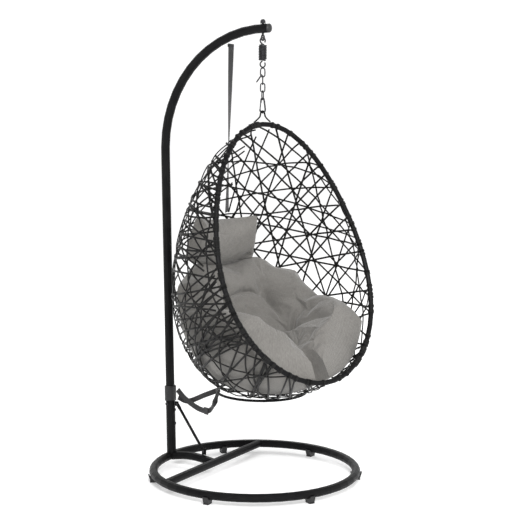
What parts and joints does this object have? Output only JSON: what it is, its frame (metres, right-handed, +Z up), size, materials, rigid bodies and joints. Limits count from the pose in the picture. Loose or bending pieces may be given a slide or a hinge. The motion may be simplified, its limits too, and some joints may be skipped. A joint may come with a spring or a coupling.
{
  "type": "hanging egg chair",
  "caption": "Woven egg-shaped hanging seat with tufted cushion and head pillow, hung by spring and chain from an arched tube stand on a floor ring.",
  "frame": {"origin": "on the floor, under the middle of the whole object's bounding box", "axes": "+Z up; the basket's mouth faces -Y, stored swivelled 22.5 degrees towards -X; the post stands at +Y"},
  "size_m": [0.9636, 1.006, 2.0476],
  "materials": {
    "powder_coat": "satin black powder coat",
    "dark_hardware": "blackened zinc, slightly shiny",
    "black_plastic": "moulded, lightly textured",
    "black_rubber": "matte",
    "wicker": "black synthetic rattan with a soft sheen",
    "cushion_fabric": "grey-taupe woven polyester",
    "strap_webbing": "ribbed black webbing"
  },
  "bodies": {
    "stand": {"base_ring_front": "powder_coat", "base_ring_rear": "powder_coat", "base_crossbar": "powder_coat", "base_arm": "powder_coat", "lower_post": "powder_coat", "post_and_arch": "powder_coat", "brace_rod": "powder_coat", "brace_lug_upper": "powder_coat", "brace_lug_lower": "powder_coat", "strap_lug": "powder_coat", "brace_bolt_1": "dark_hardware", "brace_bolt_2": "dark_hardware", "post_bolt_1": "dark_hardware", "post_bolt_2": "dark_hardware", "post_lock_bolt": "dark_hardware", "eye_bolt": "dark_hardware", "eye_washer": "dark_hardware", "eye_cap_nut": "dark_hardware", "strap_rivet": "dark_hardware", "arch_end_cap": "black_plastic", "tether_buckle": "black_plastic", "foot_saddle_1": "black_plastic", "foot_saddle_2": "black_plastic", "foot_saddle_3": "black_plastic", "foot_saddle_4": "black_plastic", "foot_saddle_5": "black_plastic", "foot_saddle_6": "black_plastic", "foot_pad_1": "black_rubber", "foot_pad_2": "black_rubber", "foot_pad_3": "black_rubber", "foot_pad_4": "black_rubber", "foot_pad_5": "black_rubber", "foot_pad_6": "black_rubber", "safety_strap": "strap_webbing", "tether_wrap": "strap_webbing", "tether_strap_upper": "strap_webbing", "tether_strap_lower": "strap_webbing"},
    "spring_body": {"hanging_spring": "dark_hardware"},
    "upper_link": {"chain_link_1": "dark_hardware", "spare_chain_link": "dark_hardware"},
    "middle_link": {"chain_link_2": "dark_hardware"},
    "lower_chain": {"chain_link_3": "dark_hardware", "chain_link_4": "dark_hardware", "snap_hook_body": "dark_hardware"},
    "gate": {"snap_hook_gate": "dark_hardware"},
    "basket": {"hanging_loop": "powder_coat", "basket_rim": "wicker", "base_hoop": "wicker", "upper_hoop": "wicker", "spine_rod_upper": "wicker", "spine_rod_lower": "wicker", "spine_rod_front": "wicker", "weave_upper_right": "wicker", "weave_lower_right": "wicker", "weave_upper_left": "wicker", "weave_lower_left": "wicker", "seat_cushion": "cushion_fabric", "head_pillow": "cushion_fabric"}
  },
  "joints": [
    {"name": "swing_fore_aft", "type": "hinge", "parent": "stand", "child": "spring_body", "pos_m": [0, -0.02502, 1.96], "axis": [-1, 0, 0], "range_deg": [-3, 8], "deforming": ["safety_strap", "tether_strap_upper", "tether_strap_lower", "tether_buckle"]},
    {"name": "spring_bounce", "type": "slide", "parent": "spring_body", "child": "upper_link", "axis": [0, 0, -1], "range_m": [0, 0.03], "stiffness_N_per_m": 20000, "springref_m": -0.027, "deforming": ["hanging_spring"]},
    {"name": "swing_sideways", "type": "hinge", "parent": "upper_link", "child": "middle_link", "pos_m": [0, -0.02502, 1.8005], "axis": [0, 1, 0], "range_deg": [-6, 6]},
    {"name": "basket_swivel", "type": "hinge", "parent": "middle_link", "child": "lower_chain", "pos_m": [0, -0.02502, 1.768], "axis": [0, 0, 1], "range_deg": [-20, 20]},
    {"name": "basket_tilt", "type": "hinge", "parent": "lower_chain", "child": "basket", "pos_m": [0, -0.02502, 1.6468], "axis": [0.9239, -0.3827, 0], "range_deg": [-3, 3]},
    {"name": "snap_gate", "type": "hinge", "parent": "lower_chain", "child": "gate", "pos_m": [-0.00078, -0.01606, 1.685], "axis": [-0.9962, -0.0872, 0], "range_deg": [0, 17], "stiffness_Nm_per_rad": 0.05, "springref_deg": -11.46}
  ]
}
